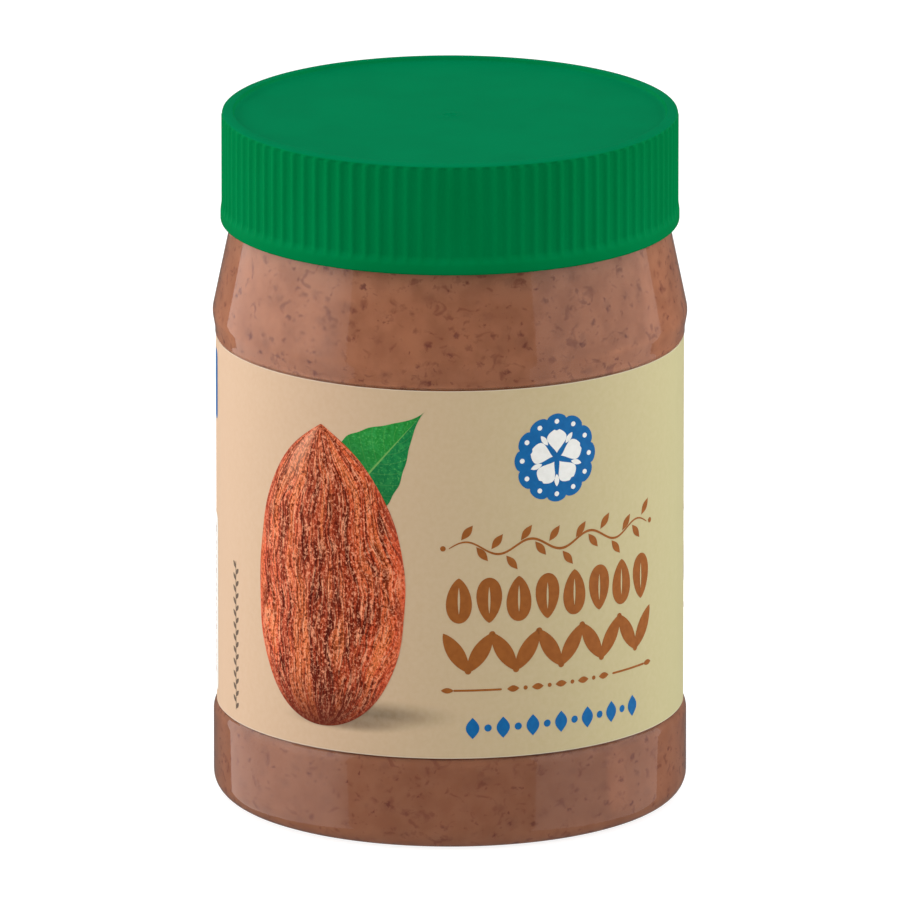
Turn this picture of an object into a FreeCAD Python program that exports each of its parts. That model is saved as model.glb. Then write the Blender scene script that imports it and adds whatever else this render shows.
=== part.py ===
import FreeCAD, Part
import math
import os

# A 12 ounce screw-top jar of almond butter: a clear PET jar, the butter that fills it,
# a ribbed polypropylene lid screwed down on its rim, and a label round its middle.
# Millimetres. +Z is up, Z = 0 is the surface that the jar stands on, and the origin is
# the middle of the base. The label's front faces -Y, and its lapped end lies at +Y.

# ---- the jar's body ------------------------------------------------------------------
body_radius = 35.7            # the two bumper bands, the widest part of the jar
body_wall = 0.7               # PET wall from the base to the shoulder
base_wall = 1.1               # the moulded base is thicker than the wall
heel_radius = 3.2             # rounding between the base and the wall
foot_ring_width = 3.2         # flat ring that the jar stands on
push_up_height = 2.6          # the middle of the base is pushed up this far

lower_bumper_height = 14.15   # base to the lower edge of the label's panel
panel_height = 57.25          # recessed panel between the bumpers
panel_depth = 0.57            # how far the panel lies inside the bumpers
lip_depth = 0.2               # sharp step at the panel's two edges
lip_height = 0.2              # height over which that step rises
lower_bumper_fall = 0.75      # height of the lower bumper's rounded top edge
lower_bumper_round = 2.6      # radius of that rounding
upper_bumper_foot = 0.75      # upright stretch between the upper lip and the bumper
upper_bumper_rise = 2.1       # height over which the upper bumper then swells out
upper_bumper_round = 3.2      # radius that the swell starts and ends with

shoulder_start = 3.75         # panel to the start of the sloped shoulder
shoulder_height = 15.05       # sloped shoulder, up to the neck
shoulder_inset = 3.12         # how far the shoulder leans in over its height
shoulder_round = 3.2          # rounding from the upper bumper to the shoulder
ledge_width = 1.08            # small ledge from the shoulder in to the neck
ledge_height = 0.8            # height over which the ledge rises
ledge_round = 0.4             # rounding of the ledge's two edges

# ---- the neck and its screw thread ---------------------------------------------------
neck_wall = 1.2               # the neck is stiffer than the body
neck_height = 13.6            # shoulder to the rim
rim_round = 0.35              # rounding of the rim's two edges
thread_depth = 1.05           # how far the jar's thread stands out of the neck
thread_root = 1.7             # thread's width where it leaves the wall
thread_crest = 0.7            # thread's width at its tip
thread_pitch = 5.08           # rise in one turn
thread_turns = 0.95           # one lead of a little under a turn
thread_start = 4.6            # shoulder to the start of the thread
thread_anchor = 0.25          # the thread's root reaches this far into the wall

# ---- the lid -------------------------------------------------------------------------
thread_clearance = 0.35       # thread tip to the wall that faces it
thread_play = 0.25            # gap between the two threads, along the axis
skirt_wall = 1.15             # lid's skirt between the ribs
top_wall = 1.0                # lid's top panel
skirt_lap = 1.4               # how far the skirt hangs below the top of the shoulder
mouth_clearance = 0.48        # the skirt's wider mouth to the shoulder inside it
mouth_margin = 0.2            # the mouth ends this far below the lid's thread
rib_count = 100               # grip ribs round the skirt
rib_height = 0.28             # how far a rib stands out of the skirt
rib_crest_share = 0.45        # share of the pitch that is crest, the rest is valley
band_height = 3.15            # plain band under the ribs
band_wall = 1.15              # wall of that band, outside the mouth
band_round = 0.3              # rounding of the band's lower edge
lid_edge_round = 0.4          # rounding of the lid's top edge
land_width = 0.7              # raised land round the lid's top
dish_depth = 0.9              # how far the floor inside the land lies below it
dish_slope = 1.4              # width of the slope from the land down to the floor
gate_radius = 1.0             # dimple that the injection gate leaves in the middle
gate_depth = 0.15             # depth of that dimple

# ---- the butter and the label --------------------------------------------------------
headspace = 13.4              # rim to the butter's surface
label_height = 56.85          # the label is a little shorter than its panel
label_thickness = 0.1         # printed film
label_lap = 16.0              # degrees by which the label's end laps over its start

# ---- worked-out places ---------------------------------------------------------------
panel_radius = body_radius - panel_depth
panel_low = lower_bumper_height
panel_top = panel_low + panel_height
swell_low = panel_top + lip_height + upper_bumper_foot
shoulder_low = panel_top + shoulder_start
shoulder_top = shoulder_low + shoulder_height
shoulder_radius = body_radius - shoulder_inset
neck_radius = shoulder_radius - ledge_width
rim_top = shoulder_top + neck_height
butter_top = rim_top - headspace
label_low = panel_low + (panel_height - label_height) / 2
thread_low = shoulder_top + thread_start

thread_drop = thread_root + thread_play
lid_thread_low = thread_low - thread_drop

skirt_bore = neck_radius + thread_depth + thread_clearance
skirt_radius = skirt_bore + skirt_wall
rib_radius = skirt_radius + rib_height
lid_low = shoulder_top - skirt_lap
mouth_radius = shoulder_radius + skirt_lap * shoulder_inset / shoulder_height + mouth_clearance
mouth_top = lid_thread_low - thread_root / 2 - mouth_margin
band_radius = mouth_radius + band_wall
band_top = lid_low + band_height
dish_floor = rim_top + top_wall
lid_top = dish_floor + dish_depth

full_turn = 360.0
axis_foot = FreeCAD.Vector(0, 0, 0)
axis_up = FreeCAD.Vector(0, 0, 1)


def rounded_corner(before, corner, after, rounding):
    """The arc that rounds one corner of an outline."""
    to_before = (before - corner).normalize()
    to_after = (after - corner).normalize()
    half_angle = to_before.getAngle(to_after) / 2
    reach = rounding / math.tan(half_angle)
    towards_centre = (to_before + to_after).normalize()
    centre = corner + towards_centre * (rounding / math.sin(half_angle))
    start = corner + to_before * reach
    end = corner + to_after * reach
    return Part.Arc(start, centre - towards_centre * rounding, end)


def turned(outline, sweep=full_turn):
    """A solid turned about Z from a closed outline of (radius, height, rounding) corners."""
    corners = [FreeCAD.Vector(radius, 0, height) for radius, height, rounding in outline]
    edges = []
    ends = []
    for index, corner in enumerate(corners):
        rounding = outline[index][2]
        if rounding > 0:
            after = corners[(index + 1) % len(corners)]
            arc = rounded_corner(corners[index - 1], corner, after, rounding)
            edges.append(arc.toShape())
            ends.append((arc.StartPoint, arc.EndPoint))
        else:
            ends.append((corner, corner))
    for index, (start, end) in enumerate(ends):
        last_end = ends[index - 1][1]
        edges.append(Part.LineSegment(last_end, start).toShape())
    wire = Part.Wire(Part.__sortEdges__(edges))
    return Part.Face(wire).revolve(axis_foot, axis_up, sweep)


def disc(radius, low, high):
    """A plain round block about Z."""
    return Part.makeCylinder(radius, high - low, FreeCAD.Vector(0, 0, low))


def push_up_ball(wall):
    """The ball that presses the middle of the base up, grown by the base's wall."""
    dome_edge = body_radius - heel_radius - foot_ring_width
    ball_radius = (dome_edge ** 2 + push_up_height ** 2) / (2 * push_up_height)
    centre = FreeCAD.Vector(0, 0, push_up_height - ball_radius)
    return Part.makeSphere(ball_radius + wall, centre)


def jar_form(wall, base, neck, edge_round):
    """The jar's outer form, or with its walls taken off, the form of its inside."""
    bumper = body_radius - wall
    panel = panel_radius - wall
    form = turned([
        (0, base, 0),
        (bumper, base, heel_radius - wall),
        (bumper, panel_low - lip_height - lower_bumper_fall, lower_bumper_round),
        (panel + lip_depth, panel_low - lip_height, 0),
        (panel, panel_low, 0),
        (panel, panel_top, 0),
        (panel + lip_depth, panel_top + lip_height, 0),
        (panel + lip_depth, swell_low, upper_bumper_round),
        (bumper, swell_low + upper_bumper_rise, upper_bumper_round),
        (bumper, shoulder_low, shoulder_round),
        (shoulder_radius - wall, shoulder_top, ledge_round),
        (neck, shoulder_top + ledge_height, ledge_round),
        (neck, rim_top, edge_round),
        (0, rim_top, 0),
    ])
    return form.cut(push_up_ball(base))


def thread(wall_radius, tip_radius, start_height):
    """One screw thread: a tapered rib swept up a helix, rooted in its wall."""
    outward = math.copysign(1, tip_radius - wall_radius)
    root_radius = wall_radius - outward * thread_anchor
    profile = Part.makePolygon([
        FreeCAD.Vector(root_radius, 0, start_height - thread_root / 2),
        FreeCAD.Vector(tip_radius, 0, start_height - thread_crest / 2),
        FreeCAD.Vector(tip_radius, 0, start_height + thread_crest / 2),
        FreeCAD.Vector(root_radius, 0, start_height + thread_root / 2),
        FreeCAD.Vector(root_radius, 0, start_height - thread_root / 2),
    ])
    helix = Part.makeHelix(thread_pitch, thread_pitch * thread_turns, wall_radius)
    helix.translate(FreeCAD.Vector(0, 0, start_height))
    sweep = Part.BRepOffsetAPI.MakePipeShell(Part.Wire(helix))
    sweep.setFrenetMode(True)
    sweep.add(profile)
    sweep.build()
    sweep.makeSolid()
    return sweep.shape()


def inside_form():
    """The space inside the jar, from its base to its rim."""
    return jar_form(body_wall, base_wall, neck_radius - neck_wall, 0)


def make_jar():
    """The clear jar: a blown body with a pushed-up base, and a threaded neck."""
    form = jar_form(0, 0, neck_radius, rim_round)
    screw = thread(neck_radius, neck_radius + thread_depth, thread_low)
    return form.fuse(screw).cut(inside_form())


def make_butter():
    """The butter, which fills the jar to just above the lid's lower edge."""
    return inside_form().common(disc(body_radius, 0, butter_top))


def rib_outline():
    """The lid's ribbed section: rounded ribs in one closed ring, as arcs."""
    pitch = 2 * math.pi / rib_count
    half_crest = pitch * rib_crest_share / 2
    flank_radius = skirt_radius + rib_height / 2

    def at(radius, angle):
        return FreeCAD.Vector(radius * math.cos(angle), radius * math.sin(angle), band_top)

    arcs = []
    for index in range(rib_count):
        crest = pitch * index
        valley = crest + pitch / 2
        rise = at(flank_radius, crest - half_crest)
        fall = at(flank_radius, crest + half_crest)
        next_rise = at(flank_radius, crest + pitch - half_crest)
        arcs.append(Part.Arc(rise, at(rib_radius, crest), fall).toShape())
        arcs.append(Part.Arc(fall, at(skirt_radius, valley), next_rise).toShape())
    return Part.Wire(Part.__sortEdges__(arcs))


def make_lid():
    """The screw lid: ribbed skirt over a plain band, and a top with a raised rim land."""
    ribbed = Part.Face(rib_outline()).extrude(FreeCAD.Vector(0, 0, lid_top - band_top))
    envelope = turned([
        (0, lid_low, 0),
        (rib_radius, lid_low, 0),
        (rib_radius, lid_top, lid_edge_round),
        (0, lid_top, 0),
    ])
    band = turned([
        (0, lid_low, 0),
        (band_radius, lid_low, band_round),
        (band_radius, band_top, 0),
        (0, band_top, 0),
    ])
    land_radius = rib_radius - lid_edge_round - land_width
    dish = turned([
        (0, dish_floor, 0),
        (land_radius - dish_slope, dish_floor, 0),
        (land_radius, lid_top, 0),
        (0, lid_top, 0),
    ])
    gate = disc(gate_radius, dish_floor - gate_depth, lid_top)
    bore = disc(skirt_bore, lid_low, rim_top)
    mouth = disc(mouth_radius, lid_low, mouth_top)
    shell = ribbed.common(envelope).fuse(band).cut(dish).cut(gate).cut(bore).cut(mouth)
    screw = thread(skirt_bore, neck_radius + thread_clearance, lid_thread_low)
    return shell.fuse(screw)


def make_label():
    """The printed film: one turn round the panel, its end lapped over its start."""
    outside = panel_radius + label_thickness
    label_top = label_low + label_height
    wrap = turned([
        (panel_radius, label_low, 0),
        (outside, label_low, 0),
        (outside, label_top, 0),
        (panel_radius, label_top, 0),
    ])
    lap = turned([
        (outside, label_low, 0),
        (outside + label_thickness, label_low, 0),
        (outside + label_thickness, label_top, 0),
        (outside, label_top, 0),
    ], label_lap)
    lap.rotate(axis_foot, axis_up, full_turn / 4 - label_lap / 2)
    return wrap.fuse(lap)


pieces = {
    "jar": make_jar(),
    "almond_butter": make_butter(),
    "lid": make_lid(),
    "label": make_label(),
}

os.makedirs("parts", exist_ok=True)
for node, solid in pieces.items():
    solid.exportStep("parts/" + node + ".step")
    print(node, len(solid.Solids), "solid,", round(solid.Volume / 1000, 2), "ml")
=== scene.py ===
import bpy
import bmesh
import math
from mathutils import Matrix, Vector
from mathutils.geometry import tessellate_polygon


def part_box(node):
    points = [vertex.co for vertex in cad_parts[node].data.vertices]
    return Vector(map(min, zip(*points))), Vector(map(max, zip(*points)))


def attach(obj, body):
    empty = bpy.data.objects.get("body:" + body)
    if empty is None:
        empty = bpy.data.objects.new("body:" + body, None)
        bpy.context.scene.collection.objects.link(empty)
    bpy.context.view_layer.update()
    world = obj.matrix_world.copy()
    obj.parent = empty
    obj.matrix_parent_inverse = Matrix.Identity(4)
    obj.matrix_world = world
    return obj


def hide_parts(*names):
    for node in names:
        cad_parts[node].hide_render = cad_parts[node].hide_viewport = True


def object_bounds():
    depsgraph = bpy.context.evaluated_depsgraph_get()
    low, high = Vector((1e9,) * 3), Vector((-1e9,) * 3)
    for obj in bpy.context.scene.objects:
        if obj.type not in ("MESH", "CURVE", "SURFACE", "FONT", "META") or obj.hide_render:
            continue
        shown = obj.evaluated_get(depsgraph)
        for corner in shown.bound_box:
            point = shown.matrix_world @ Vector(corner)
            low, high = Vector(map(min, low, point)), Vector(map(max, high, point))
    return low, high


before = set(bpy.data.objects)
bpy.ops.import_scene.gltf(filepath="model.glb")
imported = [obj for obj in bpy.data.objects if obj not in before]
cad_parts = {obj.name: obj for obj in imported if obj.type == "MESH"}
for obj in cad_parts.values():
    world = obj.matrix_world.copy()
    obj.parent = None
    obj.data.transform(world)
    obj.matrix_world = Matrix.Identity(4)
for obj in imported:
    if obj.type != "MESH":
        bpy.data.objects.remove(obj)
cad_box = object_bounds()

# ------------------------------------------------------------------------------------
# The clear jar: blow-moulded PET with a pushed-up base, two bumper bands with the
# label's panel recessed between them, a sloped shoulder and a threaded neck.
# It stands on the flat ring round its base and carries everything else.

mm = 0.001
metre_in_mm = 1000
jar_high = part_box("jar")[1]
label_low, label_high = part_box("label")

body_radius = jar_high.x
body_wall = 0.7 * mm
base_wall = 1.1 * mm
heel_radius = 3.2 * mm
foot_ring_width = 3.2 * mm
push_up_height = 2.6 * mm
label_gap = 0.2 * mm
panel_recess = 0.57 * mm
panel_radius = body_radius - panel_recess
panel_low = label_low.z - label_gap
panel_top = label_high.z + label_gap
lip_depth = 0.2 * mm
lip_height = 0.2 * mm
lip_round = 0.05 * mm
bumper_run = 0.75 * mm
bumper_round = 3.2 * mm
swell_low = panel_top + lip_height + bumper_run
shoulder_low = panel_top + 3.75 * mm
shoulder_top = shoulder_low + 15.05 * mm
shoulder_radius = body_radius - 3.12 * mm
ledge_width = 1.08 * mm
ledge_round = 0.4 * mm
neck_radius = shoulder_radius - ledge_width
neck_wall = 1.2 * mm
rim_top = jar_high.z
thread_depth = 1.05 * mm
thread_pitch = 5.08 * mm
thread_turns = 0.95
round_steps = 10
dome_steps = 16
turn_steps = 288


def rounded_line(corners):
    """Points along a line of (radius, height, rounding) corners, with the corners rounded."""
    places = [Vector((radius, height)) for radius, height, rounding in corners]
    line = []
    for index, place in enumerate(places):
        rounding = corners[index][2]
        if rounding <= 0:
            line.append(place)
            continue
        before = (places[index - 1] - place).normalized()
        after = (places[index + 1] - place).normalized()
        half_angle = before.angle(after) / 2
        centre = place + (before + after).normalized() * rounding / math.sin(half_angle)
        start = place + before * rounding / math.tan(half_angle) - centre
        end = place + after * rounding / math.tan(half_angle) - centre
        sweep = start.angle_signed(end)
        for step in range(round_steps + 1):
            turn = -sweep * step / round_steps
            line.append(centre + Vector((
                start.x * math.cos(turn) - start.y * math.sin(turn),
                start.x * math.sin(turn) + start.y * math.cos(turn),
            )))
    return line


def jar_line(inset, base, neck, top):
    """The jar's side from the edge of its pushed-up base to the rim, moved in by inset."""
    bumper = body_radius - inset
    panel = panel_radius - inset
    return rounded_line([
        (body_radius - heel_radius - foot_ring_width, base, 0),
        (bumper, base, heel_radius - inset),
        (bumper, panel_low - lip_height - bumper_run, 2.6 * mm),
        (panel + lip_depth, panel_low - lip_height, lip_round),
        (panel, panel_low, lip_round),
        (panel, panel_top, lip_round),
        (panel + lip_depth, panel_top + lip_height, lip_round),
        (panel + lip_depth, swell_low, bumper_round),
        (bumper, swell_low + 2.1 * mm, bumper_round),
        (bumper, shoulder_low, bumper_round),
        (shoulder_radius - inset, shoulder_top, ledge_round),
        (neck, shoulder_top + 0.8 * mm, ledge_round),
        (neck, top, 0),
    ])


def push_up_line(base):
    """The dome of the pushed-up base, from its middle out to the foot ring."""
    edge = body_radius - heel_radius - foot_ring_width
    ball = (edge ** 2 + push_up_height ** 2) / (2 * push_up_height)
    line = []
    for step in range(dome_steps):
        radius = edge * step / dome_steps
        height = base + math.sqrt(ball ** 2 - radius ** 2) - ball + push_up_height
        line.append(Vector((radius, height)))
    return line


def on_circle(radius, angle):
    """The x and y of a point at an angle on a circle."""
    return radius * math.cos(angle), radius * math.sin(angle)


def turned_mesh(name, line):
    """A mesh turned about Z from a line of (radius, height) points."""
    form = bmesh.new()
    rings = []
    for radius, height in line:
        if radius < 1e-7:
            rings.append([form.verts.new((0, 0, height))])
            continue
        rings.append([form.verts.new((*on_circle(radius, 2 * math.pi * k / turn_steps), height))
                      for k in range(turn_steps)])
    for low, high in zip(rings, rings[1:]):
        for k in range(turn_steps):
            j = (k + 1) % turn_steps
            if len(low) == 1 and len(high) > 1:
                form.faces.new((low[0], high[j], high[k]))
            elif len(high) == 1 and len(low) > 1:
                form.faces.new((low[k], low[j], high[0]))
            elif len(low) > 1:
                form.faces.new((low[k], low[j], high[j], high[k]))
    return finished_object(name, form)


def linked_object(name, data):
    """A new object in the scene, from a mesh, a lamp or a camera."""
    piece = bpy.data.objects.new(name, data)
    bpy.context.scene.collection.objects.link(piece)
    return piece


def smooth_object(name, mesh, sharp_angle=40):
    """A smooth-shaded object with its sharp edges kept."""
    mesh.polygons.foreach_set("use_smooth", [True] * len(mesh.polygons))
    mesh.set_sharp_from_angle(angle=math.radians(sharp_angle))
    return linked_object(name, mesh)


def finished_object(name, form, sharp_angle=40):
    """Turns a bmesh into a smooth-shaded object."""
    bmesh.ops.recalc_face_normals(form, faces=form.faces)
    mesh = bpy.data.meshes.new(name)
    form.to_mesh(mesh)
    form.free()
    return smooth_object(name, mesh, sharp_angle)


def start_material(name):
    """A new material with its tree and its main shader."""
    material = bpy.data.materials.new(name)
    material.use_nodes = True
    tree = material.node_tree
    return material, tree, tree.nodes["Principled BSDF"]


def feed(tree, node, inputs):
    """Sets a node's inputs, each to a plain value or to the socket that feeds it."""
    for key, value in inputs.items():
        if isinstance(value, bpy.types.NodeSocket):
            tree.links.new(value, node.inputs[key])
        else:
            node.inputs[key].default_value = value


def add(tree, kind, inputs, **settings):
    """Adds a node with its settings and inputs."""
    node = tree.nodes.new("ShaderNode" + kind)
    for key, value in settings.items():
        setattr(node, key, value)
    feed(tree, node, inputs)
    return node


def between(tree, value, low, high, to_low=0.0, to_high=1.0):
    """value mapped smoothly from low..high to to_low..to_high."""
    node = add(tree, "MapRange", {
        "Value": value, "From Min": low, "From Max": high, "To Min": to_low, "To Max": to_high,
    }, interpolation_type="SMOOTHSTEP")
    return node.outputs["Result"]


def place_in_mm(tree, stretch=(1, 1, 1)):
    """A point's place on the object, in millimetres."""
    place = add(tree, "TexCoord", {}).outputs["Object"]
    scale = tuple(metre_in_mm * share for share in stretch)
    return add(tree, "Mapping", {"Vector": place, "Scale": scale}).outputs["Vector"]


def noise(tree, place, size, detail=3.0, distortion=0.0):
    """Noise with features of about that size, in millimetres."""
    node = add(tree, "TexNoise", {
        "Vector": place, "Scale": 1 / size, "Detail": detail, "Distortion": distortion,
    })
    return node.outputs["Fac"]


def bump(tree, height, depth):
    """A normal bent by a height pattern of that depth in metres."""
    node = add(tree, "Bump", {"Height": height, "Distance": depth, "Strength": 1.0})
    return node.outputs["Normal"]


def screw_thread(name, wall_radius, tip_radius, start, steps=160):
    """One tapered thread rib wound up a wall, closed at both ends."""
    root, crest = 1.7 * mm / 2, 0.7 * mm / 2
    bedded = 0.25 * mm
    inward = math.copysign(bedded, tip_radius - wall_radius)
    section = [(wall_radius - inward, -root), (tip_radius, -crest), (tip_radius, crest),
               (wall_radius - inward, root)]
    form = bmesh.new()
    rows = []
    for step in range(steps + 1):
        angle = 2 * math.pi * thread_turns * step / steps
        lift = start + thread_pitch * thread_turns * step / steps
        rows.append([form.verts.new((*on_circle(radius, angle), lift + height))
                     for radius, height in section])
    for low, high in zip(rows, rows[1:]):
        for k in range(4):
            form.faces.new((low[k], low[(k + 1) % 4], high[(k + 1) % 4], high[k]))
    form.faces.new(rows[0])
    form.faces.new(rows[-1])
    return finished_object(name, form)


def join(pieces):
    """Joins pieces into the first one."""
    with bpy.context.temp_override(active_object=pieces[0], selected_editable_objects=pieces):
        bpy.ops.object.join()
    return pieces[0]


outside = push_up_line(0) + jar_line(0, 0, neck_radius, rim_top)
inside = push_up_line(base_wall) + jar_line(body_wall, base_wall, neck_radius - neck_wall, rim_top)
jar = join([
    turned_mesh("ClearJar", outside + inside[::-1]),
    screw_thread("NeckThread", neck_radius, neck_radius + thread_depth, shoulder_top + 4.6 * mm),
])

clear_pet, tree, shader = start_material("ClearPET")
haze = noise(tree, place_in_mm(tree), 9, 2)
waves = noise(tree, place_in_mm(tree, (1, 1, 0.4)), 9, 1)
feed(tree, shader, {
    "Base Color": (0.985, 0.98, 0.97, 1), "Transmission Weight": 1.0, "IOR": 1.57,
    "Roughness": between(tree, haze, 0.35, 0.7, 0.03, 0.06), "Normal": bump(tree, waves, 0.02 * mm),
})
lamp_ray = add(tree, "LightPath", {}).outputs["Is Shadow Ray"]
open_way = add(tree, "BsdfTransparent", {"Color": (0.95, 0.94, 0.93, 1)})
wall = add(tree, "MixShader", {0: lamp_ray, 1: shader.outputs[0], 2: open_way.outputs[0]})
tree.links.new(wall.outputs[0], tree.nodes["Material Output"].inputs["Surface"])
jar.data.materials.append(clear_pet)
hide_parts("jar")
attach(jar, "root")

# ------------------------------------------------------------------------------------
# The almond butter: a thick smooth paste with flecks of ground almond skin in it.
# It fills the jar against its wall, up to a little above the lid's lower edge.

fill_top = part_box("almond_butter")[1].z
into_wall = 0.35 * mm
surface_sink = 0.4 * mm
swirl_height = 0.35 * mm
surface_steps = 30
side = jar_line(into_wall, base_wall - into_wall, neck_radius - neck_wall + into_wall, fill_top)
surface = []
for step in range(1, surface_steps):
    reach = 1 - step / surface_steps
    swirl = swirl_height * math.cos(7 * math.pi * reach) * math.sin(math.pi * reach)
    surface.append(Vector((side[-1].x * reach, fill_top - surface_sink + swirl)))
surface.append(Vector((0, fill_top - surface_sink)))
butter = turned_mesh("AlmondButter", push_up_line(base_wall - into_wall) + side + surface)


def colour(red, green, blue):
    """A scene colour from the 0 to 255 values that a screen shows."""
    def linear(value):
        share = value / 255
        return share / 12.92 if share <= 0.04045 else ((share + 0.055) / 1.055) ** 2.4
    return (linear(red), linear(green), linear(blue), 1.0)


def calc(tree, operation, first, second=0.0):
    """The result of one Math node."""
    return add(tree, "Math", {0: first, 1: second}, operation=operation).outputs[0]


def blended(tree, share, first, second):
    """Two colours mixed by share."""
    return add(tree, "Mix", {0: share, 6: first, 7: second}, data_type="RGBA").outputs[2]


def two_tone(tree, value, span, first, second):
    """One colour passing into another where value runs over span."""
    return blended(tree, between(tree, value, *span), colour(*first), colour(*second))


def tinted(tree, base, *coats):
    """base under coats of colour. A coat is (value, span, tint), with span the two ends that
    the value runs between and the coat's share at each."""
    for value, span, tint in coats:
        base = blended(tree, between(tree, value, *span), base, colour(*tint))
    return base


paste, tree, shader = start_material("AlmondPaste")
place = place_in_mm(tree)
drift = noise(tree, place, 11, 3)
cloud = noise(tree, place, 3.2, 4)
height = add(tree, "SeparateXYZ", {"Vector": place}).outputs["Z"]
# Painted shade: the paste is darker towards the bottom and lighter towards the shoulder, standing
# in for the light that falls more from above.
shaded_low_tone = two_tone(tree, drift, (0.35, 0.65), (161, 101, 67), (167, 106, 71))
lit_high_tone = two_tone(tree, drift, (0.35, 0.65), (178, 114, 76), (185, 120, 81))
plain = blended(tree, between(tree, height, 15, 75), shaded_low_tone, lit_high_tone)
plain = tinted(
    tree, plain,
    # Painted light: the paste is lighter just under the lid, offsetting the shade the lid casts
    # there.
    (height, (83, 88.5, 0.0, 0.45), (196, 136, 100)),
    (cloud, (0.35, 0.7, 0.0, 0.4), (148, 90, 62)),
)


def flecks(tree, cell, smallest, largest, share, soft, seed):
    """A mask of ground skin flecks, one to a cell of that size in millimetres."""
    wander = add(tree, "TexNoise", {"Vector": place_in_mm(tree), "Scale": 1.5, "Detail": 4.0})
    spread = add(tree, "VectorMath", {0: wander.outputs["Color"], 1: (1.8, 1.8, 1.8)},
                 operation="MULTIPLY")
    moved = add(tree, "VectorMath", {0: place_in_mm(tree, (1, 1, 1.25)), 1: spread.outputs[0]},
                operation="ADD")
    shifted = add(tree, "VectorMath", {0: moved.outputs[0], 1: (seed, seed * 2, seed * 3)},
                  operation="ADD")
    cells = add(tree, "TexVoronoi", {"Vector": shifted.outputs[0], "Scale": 1 / cell})
    split = add(tree, "SeparateColor", {"Color": cells.outputs["Color"]})
    reach = between(tree, split.outputs[0], 0, 1, smallest / cell, largest / cell)
    inner = calc(tree, "MULTIPLY", reach, 1 - soft)
    edge = add(tree, "MapRange", {
        "Value": cells.outputs["Distance"], "From Min": inner, "From Max": reach,
        "To Min": 1.0, "To Max": 0.0,
    }, interpolation_type="SMOOTHSTEP")
    kept = calc(tree, "LESS_THAN", split.outputs[1], share)
    strength = between(tree, split.outputs[2], 0, 1, 0.35, 1)
    return calc(tree, "MULTIPLY", calc(tree, "MULTIPLY", edge.outputs[0], kept), strength)


blotches = flecks(tree, 3.0, 0.7, 1.7, 0.85, 0.95, 5.0)
skins = flecks(tree, 1.9, 0.4, 0.85, 0.55, 0.7, 17.0)
crumbs = flecks(tree, 1.2, 0.15, 0.4, 0.45, 0.7, 31.0)
ragged = noise(tree, place_in_mm(tree, (1, 1, 1.2)), 2.4, 4, 0.9)
tone = blended(tree, calc(tree, "MULTIPLY", blotches, 0.45), plain, colour(124, 68, 48))
tone = tinted(tree, tone, (ragged, (0.57, 0.7, 0.0, 0.6), (124, 60, 38)))
tone = blended(tree, calc(tree, "MULTIPLY", skins, 0.85), tone, colour(112, 46, 30))
tone = blended(tree, calc(tree, "MULTIPLY", crumbs, 0.6), tone, colour(112, 50, 32))
feed(tree, shader, {
    "Base Color": tone, "Roughness": between(tree, cloud, 0.3, 0.7, 0.55, 0.75),
    "Normal": bump(tree, cloud, 0.08 * mm),
})
butter.data.materials.append(paste)
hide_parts("almond_butter")
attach(butter, "root")

# ------------------------------------------------------------------------------------
# The lid: injection-moulded green polypropylene with a hundred grip ribs over a plain
# band. Its top has a raised land round a shallow dished floor with the gate's mark,
# and it is screwed down on the neck.

lid_low, lid_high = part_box("lid")
band_radius = lid_high.x
rib_radius = band_radius - 0.16 * mm
rib_height = 0.28 * mm
rib_count = 100
steps_a_rib = 12
band_top = lid_low.z + 3.15 * mm
dish_depth = 0.9 * mm
skirt_bore = neck_radius + 1.4 * mm
mouth_radius = band_radius - 1.15 * mm


def rib_swell(angle):
    """How far a grip rib stands out at an angle, from 0 in the valley to 1 on the crest."""
    wave = 0.5 + 0.5 * math.cos(rib_count * angle)
    return wave ** 1.9


def lid_rows():
    """The lid's surface from the mouth, round the outside, to the middle of the top.
    Each row is (radius, height, share of the rib's height that shows there)."""
    foot, chamfer = 0.3 * mm, 0.15 * mm
    rows = [(mouth_radius, lid_low.z + chamfer, 0), (mouth_radius + chamfer, lid_low.z, 0)]
    for step in range(5):
        turn = math.pi / 2 * step / 4
        rows.append((band_radius - foot + foot * math.sin(turn),
                     lid_low.z + foot - foot * math.cos(turn), 0))
    skirt_radius = rib_radius - rib_height
    for step in range(9):
        share = step / 8
        rise = 0.5 - 0.5 * math.cos(math.pi * share)
        rows.append((band_radius + (skirt_radius - band_radius) * rise,
                     band_top + (1.6 * share - 1.8) * mm, rise))
    edge_run, edge_rise = 1.4 * mm, 0.38 * mm
    shoulder = skirt_radius + rib_height / 2
    rows.append((skirt_radius, (band_top + lid_high.z) / 2, 1))
    for step in range(5):
        share = step / 4
        rise = 0.5 - 0.5 * math.cos(math.pi * share)
        rows.append((skirt_radius + (shoulder - skirt_radius) * rise,
                     lid_high.z - edge_rise + (0.5 * share - 0.45) * mm, 1 - rise))
    for step in range(1, 9):
        turn = math.radians(8 + 82 * step / 8)
        rows.append((shoulder - edge_run * (1 - math.cos(turn)),
                     lid_high.z - edge_rise + edge_rise * math.sin(turn), 0))
    land_inner = shoulder - edge_run - 0.1 * mm
    rows.append((land_inner, lid_high.z, 0))
    wall = [(0.05, 0.03), (0.12, 0.12), (0.2, 0.35), (0.3, 0.55), (0.45, 0.66), (0.75, 0.74),
            (1.2, 0.79), (1.9, 0.84), (2.8, 0.88), (4.0, 0.9)]
    for inward, fall in wall:
        rows.append((land_inner - inward * mm, lid_high.z - fall * mm, 0))
    floor = lid_high.z - dish_depth
    for radius in (20, 12, 6, 3):
        rows.append((radius * mm, floor, 0))
    gate = [(1.35, 0), (1.2, 0.03), (1.05, 0.03), (0.95, -0.05), (0.8, -0.1), (0.35, -0.1),
            (0.25, -0.03), (0.12, 0.0)]
    for radius, lift in gate:
        rows.append((radius * mm, floor + lift * mm, 0))
    return rows


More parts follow.
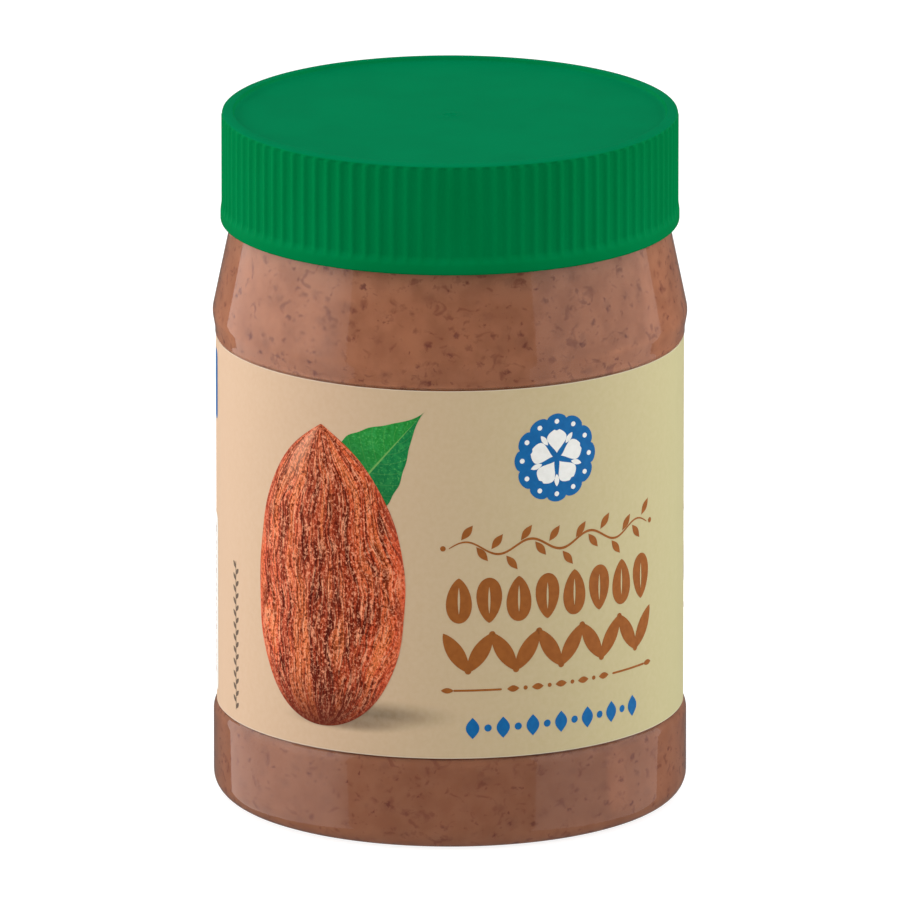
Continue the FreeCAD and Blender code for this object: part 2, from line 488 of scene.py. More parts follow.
def lid_inside_rows():
    """The lid's inside, from the middle of its underside down its bore to the mouth."""
    corner = 0.3 * mm
    return [(0.12 * mm, rim_top), (10 * mm, rim_top), (neck_radius - neck_wall, rim_top),
            (skirt_bore - corner, rim_top), (skirt_bore, rim_top - corner),
            (skirt_bore, shoulder_top + 1.6 * mm), (mouth_radius, shoulder_top + 1.45 * mm)]


form = bmesh.new()
rings = []
lid_steps = rib_count * steps_a_rib
outer_rows = lid_rows()
inner_rows = [(radius, height, 0) for radius, height in lid_inside_rows()]
for radius, height, ribbed in outer_rows + inner_rows:
    ring = []
    for k in range(lid_steps):
        angle = 2 * math.pi * k / lid_steps
        reach = radius + rib_height * rib_swell(angle) * ribbed
        ring.append(form.verts.new((*on_circle(reach, angle), height)))
    rings.append(ring)
for index, (low, high) in enumerate(zip(rings, rings[1:] + rings[:1])):
    if index == len(outer_rows) - 1:
        continue
    for k in range(lid_steps):
        j = (k + 1) % lid_steps
        form.faces.new((low[k], low[j], high[j], high[k]))
form.faces.new(rings[len(outer_rows) - 1])
form.faces.new(rings[len(outer_rows)][::-1])
lid = join([
    finished_object("ScrewLid", form, sharp_angle=50),
    screw_thread("LidThread", skirt_bore, neck_radius + 0.35 * mm, shoulder_top + 2.65 * mm),
])

green_pp, tree, shader = start_material("GreenPP")
flow = noise(tree, place_in_mm(tree, (1, 1, 0.5)), 8, 3)
grain = noise(tree, place_in_mm(tree), 0.35, 2)
# Painted sheen: faces that look up get a bluer, less green tone than the sides, standing in for the
# reflection the top picks up.
side_tone = two_tone(tree, flow, (0.3, 0.7), (0, 116, 61), (0, 119, 64))
sheen_top_tone = two_tone(tree, flow, (0.3, 0.7), (0, 108, 66), (0, 111, 68))
faces = add(tree, "SeparateXYZ", {"Vector": add(tree, "TexCoord", {}).outputs["Normal"]})
tone = blended(tree, between(tree, faces.outputs["Z"], 0.2, 0.95), side_tone, sheen_top_tone)
feed(tree, shader, {
    "Base Color": tone, "Roughness": between(tree, flow, 0.3, 0.7, 0.42, 0.46),
    "Normal": bump(tree, grain, 0.004 * mm), "Specular IOR Level": 0.003,
    "Specular Tint": (0.2, 1.0, 0.7, 1),
})
lid.data.materials.append(green_pp)
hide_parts("lid")
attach(lid, "root")

# ------------------------------------------------------------------------------------
# The label: a printed film wrapped once round the recessed panel, its end lapped over
# its start at the back. The ground runs from peach to a yellowish buff.

film = 0.1 * mm
label_radius = panel_radius + film
label_steps = 360
lap = math.radians(8)
lap_steps = 16
label_rows = 12
print_gloss = 0.25


def film_sheet(name, inner, start, end, columns):
    """A curved sheet of film with real thickness, from one angle to another."""
    form = bmesh.new()
    whole = end - start > 2 * math.pi - 1e-6
    count = columns if whole else columns + 1
    grid = []
    for radius in (inner, inner + film):
        for row in range(label_rows + 1):
            height = label_low.z + (label_high.z - label_low.z) * row / label_rows
            grid.append([
                form.verts.new((*on_circle(radius, start + (end - start) * k / columns), height))
                for k in range(count)
            ])
    loop = list(range(label_rows + 1)) + list(range(2 * label_rows + 1, label_rows, -1))
    for a, b in zip(loop, loop[1:] + loop[:1]):
        for k in range(columns):
            j = (k + 1) % count
            form.faces.new((grid[a][k], grid[a][j], grid[b][j], grid[b][k]))
    if not whole:
        for k in (0, count - 1):
            for row in range(label_rows):
                form.faces.new((grid[row][k], grid[row + 1][k],
                                grid[row + label_rows + 2][k], grid[row + label_rows + 1][k]))
    return finished_object(name, form)


back = math.pi / 2
label = join([
    film_sheet("LabelFilm", panel_radius, 0, 2 * math.pi, label_steps),
    film_sheet("LabelLap", label_radius, back - lap, back + lap, lap_steps),
])

label_film, tree, shader = start_material("LabelFilm")
place = add(tree, "TexCoord", {}).outputs["Object"]
axes = add(tree, "SeparateXYZ", {"Vector": place})
turn = calc(tree, "ARCTAN2", axes.outputs["X"], calc(tree, "MULTIPLY", axes.outputs["Y"], -1.0))
degrees = calc(tree, "MULTIPLY", turn, 180 / math.pi)
height = calc(tree, "MULTIPLY", axes.outputs["Z"], metre_in_mm)
ramp = add(tree, "ValToRGB", {
    "Fac": calc(tree, "ADD", calc(tree, "DIVIDE", degrees, 360), 0.5),
})
stops = [(-180, (205, 178, 148)), (-75, (211, 177, 146)), (-30, (206, 174, 141)),
         (0, (203, 178, 141)), (35, (197, 182, 138)), (75, (196, 188, 140)),
         (180, (192, 184, 142))]
for index, (angle, shade) in enumerate(stops):
    if index < 2:
        stop = ramp.color_ramp.elements[index]
        stop.position = angle / 360 + 0.5
    else:
        stop = ramp.color_ramp.elements.new(angle / 360 + 0.5)
    stop.color = colour(*shade)


def soft_spot(tree, centre_degrees, centre_height, half_width, half_height, softness):
    """A soft-edged oval patch on the label, in millimetres round its middle."""
    arc = metre_in_mm * label_radius * math.pi / 180
    turned = calc(tree, "SUBTRACT", degrees, centre_degrees)
    across = calc(tree, "MULTIPLY", turned, arc / half_width)
    up = calc(tree, "DIVIDE", calc(tree, "SUBTRACT", height, centre_height), half_height)
    away = calc(tree, "SQRT", calc(tree, "ADD", calc(tree, "MULTIPLY", across, across),
                                   calc(tree, "MULTIPLY", up, up)))
    return between(tree, away, softness, 1.0, 1.0, 0.0)


contact = calc(tree, "MULTIPLY", soft_spot(tree, -27.0, 18.9, 12.0, 1.5, 0.2), 0.6)
cast = calc(tree, "MULTIPLY", soft_spot(tree, -19.0, 20.7, 15.0, 2.7, 0.0), 0.75)
ground = blended(tree, contact, ramp.outputs["Color"], colour(96, 70, 46))
ground = blended(tree, cast, ground, colour(92, 74, 50))
to_edge = calc(tree, "MINIMUM", calc(tree, "SUBTRACT", height, metre_in_mm * label_low.z),
               calc(tree, "SUBTRACT", metre_in_mm * label_high.z, height))
fibre = noise(tree, place_in_mm(tree), 0.8, 2)
ripple = noise(tree, place_in_mm(tree, (1, 1, 0.25)), 14, 1)
ground = tinted(
    tree, ground,
    (to_edge, (0.04, 0.14, 0.4, 0.0), (244, 236, 220)),
    (fibre, (0.2, 0.8, 0.0, 0.06), (255, 244, 226)),
)
feed(tree, shader, {
    "Base Color": ground, "Roughness": between(tree, fibre, 0.3, 0.7, 0.55, 0.65),
    "Normal": bump(tree, ripple, 0.04 * mm), "Specular IOR Level": print_gloss,
})
label.data.materials.append(label_film)
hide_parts("label")
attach(label, "root")

# ------------------------------------------------------------------------------------
# The print's picture: one large almond with its wrinkled skin, and a leaf behind it.
# Both are ink on the film, so they are skins a few hundredths of a millimetre thick.

ink = 0.015 * mm
first_coat = 0.01 * mm
second_coat = 0.03 * mm
arc_degree = math.radians(1) * label_radius


def on_label(across, depth, up):
    """Bends a flat point (across, depth, up) round the label's front, in metres."""
    angle = across / label_radius
    reach = label_radius + depth
    return (reach * math.sin(angle), -reach * math.cos(angle), up)


def picture(name, place_at, columns, rows, lift):
    """A printed picture as a thin closed grid. place_at(u, v) gives its flat place, with u
    from -1 to 1 across and v from 0 to 1 along, and both are kept on the mesh for its ink."""
    corners = []
    marks = []
    for layer in (lift, lift + ink):
        for row in range(rows + 1):
            for column in range(columns + 1):
                u, v = 2 * column / columns - 1, row / rows
                across, up = place_at(u, v)
                corners.append(on_label(across, layer, up))
                marks.append((u, v, 0.0))
    wide = columns + 1
    layer_size = wide * (rows + 1)
    faces = []
    for row in range(rows):
        for column in range(columns):
            a = row * wide + column
            faces.append((a + layer_size, a + 1 + layer_size, a + wide + 1 + layer_size,
                          a + wide + layer_size))
            faces.append((a, a + wide, a + wide + 1, a + 1))
    rim = list(range(columns))
    rim += [row * wide + columns for row in range(rows)]
    rim += [rows * wide + column for column in range(columns, 0, -1)]
    rim += [row * wide for row in range(rows, 0, -1)]
    for a, b in zip(rim, rim[1:] + rim[:1]):
        faces.append((a, b, b + layer_size, a + layer_size))
    mesh = bpy.data.meshes.new(name)
    mesh.from_pydata(corners, [], faces)
    kept = mesh.attributes.new("place_in_picture", "FLOAT_VECTOR", "POINT")
    kept.data.foreach_set("vector", [value for mark in marks for value in mark])
    return smooth_object(name, mesh)


almond_middle = -20.0 * mm
almond_foot = 18.0 * mm
almond_length = 46.7 * mm
almond_width = 26.2 * mm
almond_widest = 0.45
leaf_root = Vector((-16.2 * mm, 53.5 * mm))
leaf_tip = Vector((-3.8 * mm, 68.0 * mm))


def almond_place(u, v):
    """The almond's outline: round at the foot, widest below the middle, drawn to a point."""
    v = 0.5 - 0.5 * math.cos(math.pi * min(max(v, 0.0008), 0.9992))
    if v < almond_widest:
        swell = (1 - ((almond_widest - v) / almond_widest) ** 2.5) ** 0.5
    else:
        swell = (1 - ((v - almond_widest) / (1 - almond_widest)) ** 2.3) ** 0.75
    uneven = 1 + 0.007 * math.sin(11 * v + 2 * u) + 0.004 * math.sin(29 * v)
    swell = swell * (1 - 0.45 * math.exp((v - 1) / 0.033))
    lean = (0.1 - 1.9 * (v - 0.5) ** 2) * mm
    across = almond_middle + lean + u * almond_width / 2 * swell * uneven
    return across, almond_foot + almond_length * v


def leaf_place(u, v):
    """A pointed leaf, broader on its upper side, with its root under the almond."""
    along = leaf_tip - leaf_root
    side = Vector((-along.y, along.x)).normalized()
    if u > 0:
        widest, half, droop = 0.3, 6.4 * mm, 1.85
    else:
        widest, half, droop = 0.2, 5.15 * mm, 2.0
    if v > widest:
        swell = (1 - ((v - widest) / (1 - widest)) ** 2) ** droop
    else:
        swell = (v / widest) ** 0.5
    teeth = 1 + 0.02 * math.sin(34 * v) * abs(u) ** 6
    point = leaf_root + along * v + side * u * half * swell * teeth
    return point.x, point.y


leaf = picture("PrintedLeaf", leaf_place, 32, 80, first_coat)
almond = picture("PrintedAlmond", almond_place, 60, 120, second_coat)


def picture_marks(tree):
    """Where a point lies across and along its picture."""
    kept = add(tree, "Attribute", {}, attribute_name="place_in_picture")
    axes = add(tree, "SeparateXYZ", {"Vector": kept.outputs["Vector"]})
    return axes.outputs["X"], axes.outputs["Y"]


def streaks(tree, across, along, counts, detail, distortion):
    """Noise drawn out along the picture, with so many streaks across and along it."""
    place = add(tree, "CombineXYZ", {
        "X": calc(tree, "MULTIPLY", across, counts[0]),
        "Y": calc(tree, "MULTIPLY", along, counts[1]),
    })
    node = add(tree, "TexNoise", {
        "Vector": place.outputs[0], "Scale": 1.0, "Detail": detail, "Distortion": distortion,
    })
    return node.outputs["Fac"]


almond_ink, tree, shader = start_material("AlmondInk")
across, along = picture_marks(tree)
bend = noise(tree, place_in_mm(tree, (1, 1, 0.6)), 9, 2)
sway = calc(tree, "MULTIPLY", calc(tree, "SUBTRACT", bend, 0.5), 0.5)
bent = calc(tree, "ADD", across, sway)
folds = streaks(tree, bent, along, (4.6, 2.0), 3, 0.35)
wrinkles = streaks(tree, bent, along, (12, 4.6), 4, 0.45)
fibres = streaks(tree, bent, along, (36, 17), 4, 0.6)
grain = noise(tree, place_in_mm(tree, (1, 1, 0.8)), 0.36, 4, 0.8)
ridge = calc(tree, "ABSOLUTE", calc(tree, "SUBTRACT", wrinkles, 0.5))
crease = calc(tree, "ABSOLUTE", calc(tree, "SUBTRACT", folds, 0.46))
left_skin = two_tone(tree, along, (0.1, 0.95), (216, 82, 54), (255, 132, 94))
right_skin = two_tone(tree, along, (0.1, 0.95), (218, 86, 50), (232, 98, 56))
skin = blended(tree, between(tree, across, -0.9, 0.4), left_skin, right_skin)
middle = calc(tree, "ABSOLUTE", calc(tree, "SUBTRACT", across, 0.05))
hollow = between(tree, middle, 0.05, 0.8, 0.64, 0.0)
hollow = calc(tree, "MULTIPLY", hollow, between(tree, along, 0.95, 0.45, 0.15, 1.0))
skin = blended(tree, hollow, skin, colour(110, 22, 6))
skin = tinted(
    tree, skin,
    (folds, (0.5, 0.6, 0.0, 0.75), (226, 118, 66)),
    (folds, (0.44, 0.34, 0.0, 0.6), (110, 26, 12)),
    (ridge, (0.0, 0.055, 0.8, 0.0), (84, 16, 6)),
    (wrinkles, (0.55, 0.68, 0.0, 0.5), (234, 128, 76)),
    (crease, (0.0, 0.04, 0.9, 0.0), (68, 12, 10)),
    (fibres, (0.47, 0.32, 0.0, 0.75), (84, 18, 4)),
    (fibres, (0.53, 0.68, 0.0, 0.75), (252, 172, 130)),
    (grain, (0.49, 0.34, 0.0, 0.85), (82, 16, 2)),
    (grain, (0.52, 0.66, 0.0, 0.65), (252, 168, 128)),
)
gleam = between(tree, across, -0.9, -0.7)
gleam = calc(tree, "MULTIPLY", gleam, between(tree, across, -0.3, -0.6))
gleam = calc(tree, "MULTIPLY", gleam, between(tree, along, 0.66, 0.8, 0.0, 0.32))
gleam = calc(tree, "MULTIPLY", gleam, between(tree, along, 0.96, 0.86))
skin = blended(tree, gleam, skin, colour(246, 190, 158))
skin = tinted(
    tree, skin,
    (calc(tree, "ABSOLUTE", across), (0.84, 1.0, 0.0, 0.4), (204, 84, 58)),
    (along, (0.05, 0.32, 0.85, 0.0), (94, 38, 26)),
)
feed(tree, shader, {
    "Base Color": skin, "Roughness": between(tree, grain, 0.3, 0.7, 0.52, 0.66),
    "Normal": bump(tree, grain, 0.002 * mm), "Specular IOR Level": 0.05,
})
almond.data.materials.append(almond_ink)

leaf_ink, tree, shader = start_material("LeafInk")
across, along = picture_marks(tree)
off_rib = calc(tree, "ABSOLUTE", across)
mottle = noise(tree, place_in_mm(tree), 0.7, 5)
speckle = noise(tree, place_in_mm(tree), 0.3, 3)
sweep = calc(tree, "MULTIPLY", off_rib, 6)
slant = calc(tree, "SUBTRACT", calc(tree, "MULTIPLY", along, 30), sweep)
off_vein = calc(tree, "ABSOLUTE", calc(tree, "SINE", slant))
blade = two_tone(tree, across, (-0.04, 0.04), (0, 124, 62), (24, 140, 48))
blade = tinted(
    tree, blade,
    (mottle, (0.4, 0.7, 0.0, 0.5), (52, 166, 80)),
    (speckle, (0.55, 0.72, 0.0, 0.55), (96, 190, 96)),
    (speckle, (0.45, 0.3, 0.0, 0.5), (0, 92, 36)),
    (off_vein, (0.0, 0.16, 0.22, 0.0), (120, 190, 96)),
    (along, (0.2, 0.6, 0.5, 0.0), (6, 92, 42)),
    (along, (0.8, 1.0, 0.0, 0.5), (6, 92, 50)),
    (off_rib, (0.012, 0.035, 0.6, 0.0), (140, 190, 100)),
)
feed(tree, shader, {
    "Base Color": blade, "Roughness": between(tree, mottle, 0.3, 0.7, 0.5, 0.64),
    "Normal": bump(tree, mottle, 0.002 * mm), "Specular IOR Level": print_gloss,
})
leaf.data.materials.append(leaf_ink)

for piece in (almond, leaf):
    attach(piece, "root")

# ------------------------------------------------------------------------------------
# The print's ornament, in brown, blue and white ink: a scalloped badge with an almond
# flower, a slender vine, two bold rows of nuts and leaves, a rule and a row of beads.

row_middle = 28.2 * arc_degree
strip = 1.0 * mm


def printed(name, shapes, lift):
    """Flat shapes, each an outline and its holes, bent round the label as a thin closed skin."""
    form = bmesh.new()
    for loops in shapes:
        flat = [[Vector((x, y, 0)) for x, y in loop] for loop in loops]
        corners = [form.verts.new((point.x, 0, point.y)) for loop in flat for point in loop]
        for a, b, c in tessellate_polygon(flat):
            form.faces.new((corners[a], corners[b], corners[c]))
    low = min(vert.co.x for vert in form.verts)
    high = max(vert.co.x for vert in form.verts)
    cut = low + strip
    while cut < high:
        bmesh.ops.bisect_plane(form, geom=form.verts[:] + form.edges[:] + form.faces[:],
                               plane_co=(cut, 0, 0), plane_no=(1, 0, 0), dist=1e-7)
        cut += strip
    top = bmesh.ops.extrude_face_region(form, geom=form.faces[:])
    for item in top["geom"]:
        if isinstance(item, bmesh.types.BMVert):
            item.co.y += ink
    for vert in form.verts:
        vert.co = on_label(vert.co.x, lift + vert.co.y, vert.co.z)
    return finished_object(name, form, sharp_angle=30)


def placed(points, x, y, angle=0.0, size=1.0):
    """A shape's points turned, sized and moved to their place."""
    c, s = math.cos(angle) * size, math.sin(angle) * size
    return [(x + px * c - py * s, y + px * s + py * c) for px, py in points]


def pointed_oval(length, width, blunt=0.8, steps=18):
    """A leaf or nut outline, from -length/2 to length/2 along y."""
    right = []
    for step in range(steps + 1):
        share = step / steps
        half = width / 2 * math.sin(math.pi * share) ** blunt
        right.append((half, length * (share - 0.5)))
    return right + [(-px, py) for px, py in right[-2:0:-1]]


def nut_shape(length, width, steps=20):
    """A nut's outline, round at the foot and pointed at the top."""
    widest = 0.43 ** 0.5 * 0.57 ** 0.72
    right = []
    for step in range(steps + 1):
        share = 0.5 - 0.5 * math.cos(math.pi * step / steps)
        half = width / 2 * share ** 0.5 * (1 - share) ** 0.72 / widest
        right.append((half, length * (share - 0.5)))
    return right + [(-px, py) for px, py in right[-2:0:-1]]


def round_bar(length, thick, steps=6):
    """A bar with round ends, lying along x."""
    points = []
    for side in (1, -1):
        for step in range(steps + 1):
            turn = side * math.pi / 2 - math.pi * step / steps
            points.append((side * (length / 2 - thick / 2) + thick / 2 * math.cos(turn),
                           thick / 2 * math.sin(turn)))
    return points


def box_shape(x, y, width, height, corner=0.0, steps=6):
    """A flat box round a middle, with rounded corners."""
    points = []
    for sx, sy, first in ((1, 1, 0), (-1, 1, 1), (-1, -1, 2), (1, -1, 3)):
        cx, cy = sx * (width / 2 - corner), sy * (height / 2 - corner)
        if corner <= 0:
            points.append((x + cx, y + cy))
            continue
        for step in range(steps + 1):
            turn = math.pi / 2 * (first + step / steps)
            points.append((x + cx + corner * math.cos(turn), y + cy + corner * math.sin(turn)))
    return points


def disc_shape(radius, steps=20):
    """A round dot."""
    return [on_circle(radius, 2 * math.pi * k / steps) for k in range(steps)]


def scalloped(width, height, count, depth, steps=10):
    """A badge's scalloped outline."""
    points = []
    for k in range(count * steps):
        turn = 2 * math.pi * k / (count * steps)
        reach = 1 - depth + depth * abs(math.cos(count * turn / 2)) ** 0.6
        points.append((width / 2 * reach * math.cos(turn), height / 2 * reach * math.sin(turn)))
    return points


def flower(size):
    """Five petals with notched ends round a small eye, as separate shapes."""
    eye, notch, steps = 0.16, 0.93, 24
    petal = []
    for step in range(steps + 1):
        share = step / steps
        half = 0.36 * math.sin(math.pi * share ** 1.5) ** 0.8
        petal.append((half * size, (eye + (1 - eye) * share) * size))
    petal[-1] = (0.0, notch * size)
    petal += [(-px, py) for px, py in petal[-2:0:-1]]
    return [[placed(petal, 0, 0, 2 * math.pi * k / 5)] for k in range(5)]


def badge(x, y, size):
    """The badge's scalloped blue ground, and its white flower in a ring of dots."""
    lobes, width = 12, 13.6 * mm
    ground = [[placed(scalloped(width, width, lobes, 0.09), x, y, 0, size)]]
    white = [[placed(loop, x, y, 0, size) for loop in petal] for petal in flower(4.5 * mm)]
    for k in range(5):
        turn = 2 * math.pi * (k + 0.5) / 5 + math.pi / 2
        aside, up = on_circle(size * 3.5 * mm, turn)
        sepal = pointed_oval(1.9 * mm, 0.8 * mm)
        white.append([placed(sepal, x + aside, y + up, turn - math.pi / 2, size)])
    for k in range(lobes):
        aside, up = on_circle(size * 5.6 * mm, 2 * math.pi * k / lobes)
        white.append([placed(disc_shape(0.38 * mm), x + aside, y + up, 0, size)])
    return ground, white


def vine(x, y, length, height):
    """A slender waving stem with leaves on both sides, and buds at its ends."""
    waves, steps, count = 3.5, 120, 15

    def stem(share):
        wave = math.sin(2 * math.pi * waves * share)
        return x + length * (share - 0.5), y + height * 0.14 * wave

    upper, lower = [], []
    for step in range(steps + 1):
        share = step / steps
        px, py = stem(share)
        half = 0.2 * mm * (0.35 + 0.65 * math.sin(math.pi * share) ** 0.5)
        upper.append((px, py + half))
        lower.append((px, py - half))
    shapes = [[upper + lower[::-1]]]
    reach = height * 0.22
    for k in range(count):
        px, py = stem((k + 0.7) / (count + 0.4))
        side = 1 if k % 2 == 0 else -1
        shapes.append([placed(pointed_oval(height * 0.4, 1.15 * mm, 1.1),
                              px + reach * 0.7, py + side * reach, -side * math.radians(38))])
    for end in (-1, 1):
        shapes.append([placed(disc_shape(0.42 * mm), x + end * (length / 2 + 0.9 * mm), y)])
    return shapes


def nut_row(x, y, length, height):
    """A bold row of nuts with a slit in each, upright and hanging by turns."""
    count = 8
    pitch = length / count
    shapes = []
    for k in range(count):
        px = x + pitch * (k + 0.5 - count / 2)
        turn = 0 if k % 2 == 0 else math.pi
        slit = placed(pointed_oval(height * 0.6, 0.34 * mm), px, y, turn)
        shapes.append([placed(nut_shape(height, 3.9 * mm), px, y, turn), slit])
    return shapes


def leaf_row(x, y, length, height):
    """A bold plait of leaves, leaning left and right by turns."""
    count = 10
    pitch = length / count
    shapes = []
    for k in range(count):
        px = x + pitch * (k + 0.5 - count / 2)
        lean = math.radians(32) * (1 if k % 2 == 0 else -1)
        shapes.append([placed(pointed_oval(height * 1.08, 2.5 * mm, 0.75), px, y, lean)])
    for k in range(count - 1):
        px = x + pitch * (k + 1 - count / 2)
        lift = height * (0.42 if k % 2 else -0.42)
        shapes.append([placed(disc_shape(0.5 * mm), px, y + lift)])
    return shapes


def rule_with_drops(x, y, length):
    """Two thin rules with drop-shaped ends and a few beads between them."""
    shapes = []
    for side in (-1, 1):
        middle = x + side * length * 0.36
        shapes.append([placed(round_bar(length * 0.2, 0.32 * mm), middle, y)])
        shapes.append([placed(pointed_oval(1.9 * mm, 0.85 * mm, 0.8),
                              middle + side * length * 0.125, y, math.pi / 2)])
    for k in range(-4, 5):
        if k % 2:
            shapes.append([placed(disc_shape(0.33 * mm), x + k * length * 0.053, y)])
        else:
            shapes.append([placed(pointed_oval(1.9 * mm, 1.0 * mm, 0.9), x + k * length * 0.053, y,
                                  math.pi / 2)])
    return shapes


def bead_row(x, y, length, height):
    """A row of blue lozenges and round beads."""
    count = 13
    shapes = []
    for k in range(count):
        px = x + length * (k / (count - 1) - 0.5)
        if k % 2 == 0:
            shapes.append([placed(pointed_oval(height, height * 0.62, 1.0), px, y)])
        else:
            shapes.append([placed(disc_shape(height * 0.17), px, y)])
    return shapes


def sprig(x, low, high):
    """A slim upright sprig: a fine stem with small leaves by turns to left and right."""
    shapes = [[box_shape(x, (low + high) / 2, 0.14 * mm, high - low)]]
    up, side = low + 0.4 * mm, 1
    while up < high - 0.6 * mm:
        shapes.append([placed(pointed_oval(1.35 * mm, 0.62 * mm, 0.8), x + side * 0.47 * mm,
                              up + 0.3 * mm, -side * math.radians(42))])
        up += 0.95 * mm
        side = -side
    return shapes


badge_x = 26.9 * arc_degree
sprig_x = -65.9 * arc_degree
brown_shapes = vine(row_middle, 46.9 * mm, 35.0 * mm, 7.2 * mm)
brown_shapes += nut_row(row_middle, 38.8 * mm, 36.6 * mm, 7.0 * mm)
brown_shapes += leaf_row(row_middle, 30.7 * mm, 36.6 * mm, 6.7 * mm)
brown_shapes += rule_with_drops(row_middle, 24.9 * mm, 36.6 * mm)
badge_ground, badge_white = badge(badge_x, 60.0 * mm, 1.0)
blue_shapes = badge_ground + bead_row(row_middle, 19.0 * mm, 27.9 * mm, 3.3 * mm)


def ink_material(name, light, dark):
    """Printing ink: a colour that lies a little unevenly on the film."""
    material, tree, shader = start_material(name)
    cover = noise(tree, place_in_mm(tree), 0.9, 3)
    feed(tree, shader, {
        "Base Color": two_tone(tree, cover, (0.3, 0.7), light, dark),
        "Roughness": between(tree, cover, 0.3, 0.7, 0.5, 0.62),
        "Normal": bump(tree, cover, 0.002 * mm), "Specular IOR Level": print_gloss,
    })
    return material


brown_ink = ink_material("BrownInk", (160, 92, 34), (150, 84, 30))
blue_ink = ink_material("BlueInk", (0, 104, 168), (0, 97, 160))
white_ink = ink_material("WhiteInk", (246, 245, 240), (240, 239, 233))
grey_ink = ink_material("GreyBrownInk", (112, 92, 76), (104, 86, 72))

print_pieces = [
    (printed("PrintBrown", brown_shapes, first_coat), brown_ink),
    (printed("PrintBlue", blue_shapes, first_coat), blue_ink),
    (printed("PrintWhite", badge_white, second_coat), white_ink),
    (printed("PrintSprig", sprig(sprig_x, 16.2 * mm, 39.3 * mm), first_coat), grey_ink),
]

# ------------------------------------------------------------------------------------
# The print round the back: a white panel of plain ruled rows under a blue block on one
# side, and on the other a second badge over a spray of leaves and nuts.

panel_x = -116 * arc_degree
panel_width = 41 * mm
panel_corner = 1.2 * mm
block_middle = 63.95 * mm
row_pitch = 2.2 * mm
margin = 3 * mm

white_shapes = [[box_shape(panel_x, 29.9 * mm, panel_width, 27.4 * mm, panel_corner)]]
block_shapes = [[box_shape(panel_x, block_middle, panel_width, 10.7 * mm, panel_corner)]]
ruled_shapes = []
row_heights = [1.0, 0.35, 0.35, 0.7, 0.35, 0.35, 0.35, 0.7, 0.35, 0.35, 1.0]
for index, thick in enumerate(row_heights):
    up = 41.0 * mm - index * row_pitch
    ruled_shapes.append([box_shape(panel_x, up, panel_width - 5 * mm, thick * mm)])
for index in range(10):
    up = 39.9 * mm - index * row_pitch
    left = 9 * mm + 5 * mm * abs(math.sin(2.3 * index))
    right = 4 * mm + 2 * mm * abs(math.cos(1.7 * index))
    ruled_shapes.append([placed(round_bar(left, 0.8 * mm),
                                panel_x - panel_width / 2 + margin + left / 2, up)])
    ruled_shapes.append([placed(round_bar(right, 0.8 * mm),
                                panel_x + panel_width / 2 - margin - right / 2, up)])
block_white = []
for k in range(3):
    px = panel_x + (k - 1) * 12 * mm
    block_white += [[placed(loop, px, block_middle) for loop in petal]
                    for petal in flower(4.0 * mm)]

spray_x = 118 * arc_degree
spray_shapes = vine(spray_x, 44.0 * mm, 34.0 * mm, 7.2 * mm)
spray_shapes += nut_row(spray_x, 35.5 * mm, 36.0 * mm, 7.0 * mm)
spray_shapes += rule_with_drops(spray_x, 28.5 * mm, 34.0 * mm)
spray_blue, spray_white = badge(spray_x, 58.0 * mm, 1.1)
spray_blue += bead_row(spray_x, 22.0 * mm, 27.9 * mm, 3.3 * mm)

print_pieces += [
    (printed("BackPanelWhite", white_shapes, first_coat), white_ink),
    (printed("BackPanelBlue", block_shapes, first_coat), blue_ink),
    (printed("BackPanelRules", ruled_shapes, second_coat), brown_ink),
    (printed("BackPanelFlowers", block_white, second_coat), white_ink),
    (printed("BackSprayBrown", spray_shapes, first_coat), brown_ink),
    (printed("BackSprayBlue", spray_blue, first_coat), blue_ink),
    (printed("BackSprayWhite", spray_white, second_coat), white_ink),
]
for piece, piece_ink in print_pieces:
    piece.data.materials.append(piece_ink)
    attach(piece, "root")

# ------------------------------------------------------------------------------------
# The stage: a plain pale floor, two large soft panels at the jar's sides with a weaker
# one above, two lamps that only gloss shows, and a camera a little above the jar, far
# off, as for a pack shot.

stage_radius = 1.6
floor_glow = 0.82
floor_mesh = bpy.data.meshes.new("Floor")
floor_form = bmesh.new()
bmesh.ops.create_circle(floor_form, cap_ends=True, segments=96, radius=stage_radius)
floor_form.to_mesh(floor_mesh)
floor_form.free()
floor = linked_object("Floor", floor_mesh)
floor.visible_glossy = False


def seen_straight(tree, seen):
    """1 where the camera looks straight at a thing or through the clear jar."""
    rays = seen.outputs["Is Camera Ray"], seen.outputs["Is Transmission Ray"]
    return calc(tree, "MAXIMUM", *rays)


pale, tree, shader = start_material("PaleFloor")
feed(tree, shader, {"Base Color": (0.3, 0.3, 0.3, 1), "Roughness": 0.9, "Specular IOR Level": 0.0})
straight = seen_straight(tree, add(tree, "LightPath", {}))
glow = add(tree, "Emission", {
    "Color": (1, 1, 1, 1), "Strength": calc(tree, "MULTIPLY", straight, floor_glow),
})
both = add(tree, "AddShader", {0: shader.outputs[0], 1: glow.outputs[0]})
tree.links.new(both.outputs[0], tree.nodes["Material Output"].inputs["Surface"])
floor_mesh.materials.append(pale)

room_light = 0.8
backdrop_in_gloss = 0.12
world = bpy.data.worlds.new("Studio")
bpy.context.scene.world = world
world.use_nodes = True
tree = world.node_tree
seen = add(tree, "LightPath", {})
unscattered = calc(tree, "LESS_THAN", seen.outputs["Diffuse Depth"], 0.5)
straight = calc(tree, "MULTIPLY", seen_straight(tree, seen), unscattered)
in_gloss = calc(tree, "MULTIPLY", seen.outputs["Is Glossy Ray"], room_light - backdrop_in_gloss)
strength = calc(tree, "MAXIMUM", straight, calc(tree, "SUBTRACT", room_light, in_gloss))
feed(tree, tree.nodes["Background"], {"Color": (1, 1, 1, 1), "Strength": strength})

jar_middle = Vector((0, 0, cad_box[1].z / 2))


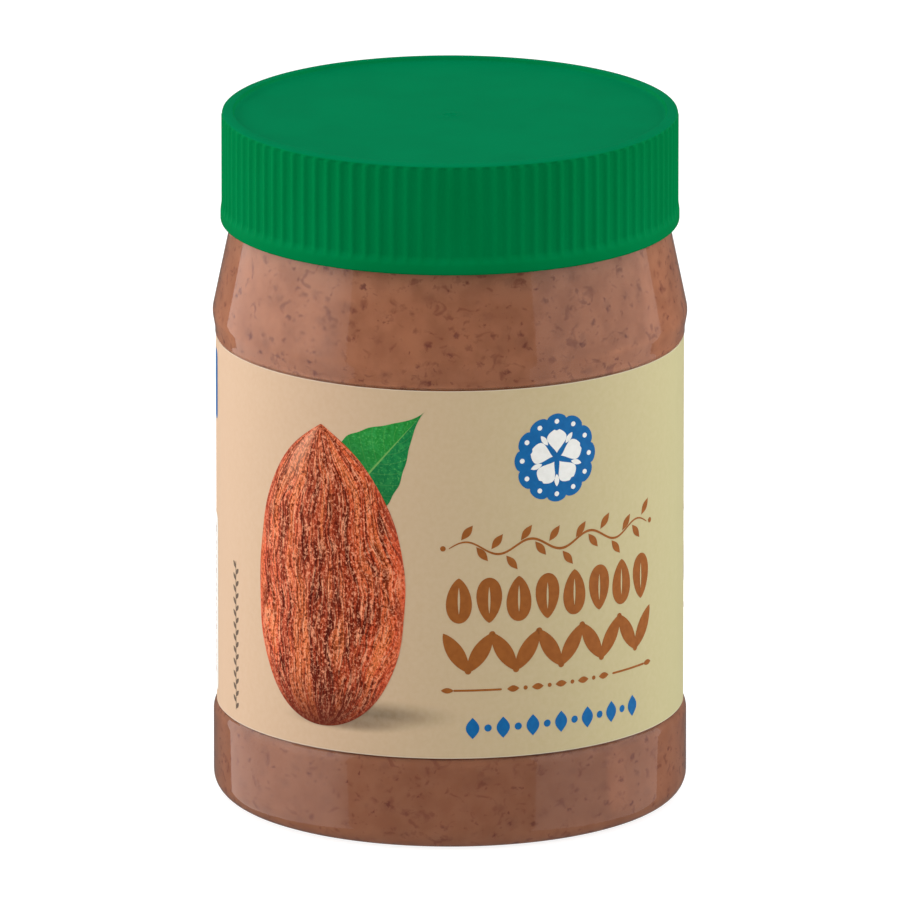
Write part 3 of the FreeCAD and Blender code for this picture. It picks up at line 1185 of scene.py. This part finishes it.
def soft_panel(name, azimuth, distance, width, height, lift, power):
    """A large flat lamp at an azimuth from the camera's side, turned to the jar."""
    lamp = bpy.data.lights.new(name, "AREA")
    lamp.shape = "RECTANGLE"
    lamp.size = width
    lamp.size_y = height
    lamp.energy = power
    piece = linked_object(name, lamp)
    angle = math.radians(azimuth)
    offset = Vector((distance * math.sin(angle), -distance * math.cos(angle), lift))
    piece.location = jar_middle + offset
    piece.rotation_euler = (jar_middle - piece.location).to_track_quat("-Z", "Y").to_euler()
    piece.visible_glossy = False
    return piece


def glint_panel(name, azimuth, distance, width, height, power, first, last, faintest):
    """A weaker lamp that only gloss shows, fading towards the camera's side."""
    piece = soft_panel(name, azimuth, distance, width, height, 0.0, power)
    piece.visible_glossy = True
    piece.visible_diffuse = False
    lamp = piece.data
    lamp.use_nodes = True
    tree = lamp.node_tree
    place = add(tree, "SeparateXYZ", {
        "Vector": add(tree, "NewGeometry", {}).outputs["Parametric"],
    })
    fade = between(tree, place.outputs["X"], first, last, faintest, 1.0)
    fade = calc(tree, "MULTIPLY", fade, between(tree, place.outputs["Y"], 0.2, 0.75, 0.7, 1.0))
    tree.links.new(fade, tree.nodes["Emission"].inputs["Strength"])
    return piece


soft_panel("LeftPanel", -92, 0.7, 1.25, 1.3, 0.0, 12.0)
soft_panel("RightPanel", 90, 0.7, 1.05, 1.3, 0.0, 8.4)
soft_panel("TopPanel", 0, 0.05, 0.8, 0.8, 0.9, 2.2)
glint_panel("LeftGlint", -92, 0.65, 1.16, 1.2, 4.3, 1.0, 0.82, 0.5)
glint_panel("RightGlint", 81, 0.65, 1.064, 1.2, 2.3, 0.0, 0.2, 0.8)

camera_data = bpy.data.cameras.new("Camera")
camera = linked_object("Camera", camera_data)
bpy.context.scene.camera = camera
camera_distance = 3.52
camera_rise = math.radians(15.01)
camera_data.lens = 934.4
camera_data.sensor_width = 36.0
camera_data.clip_end = 50.0
aim = Vector((0, 0, 52.73 * mm))
camera.location = aim + camera_distance * Vector((0, -math.cos(camera_rise), math.sin(camera_rise)))
camera.rotation_euler = (aim - camera.location).to_track_quat("-Z", "Y").to_euler()

bpy.context.scene.view_settings.view_transform = "Standard"
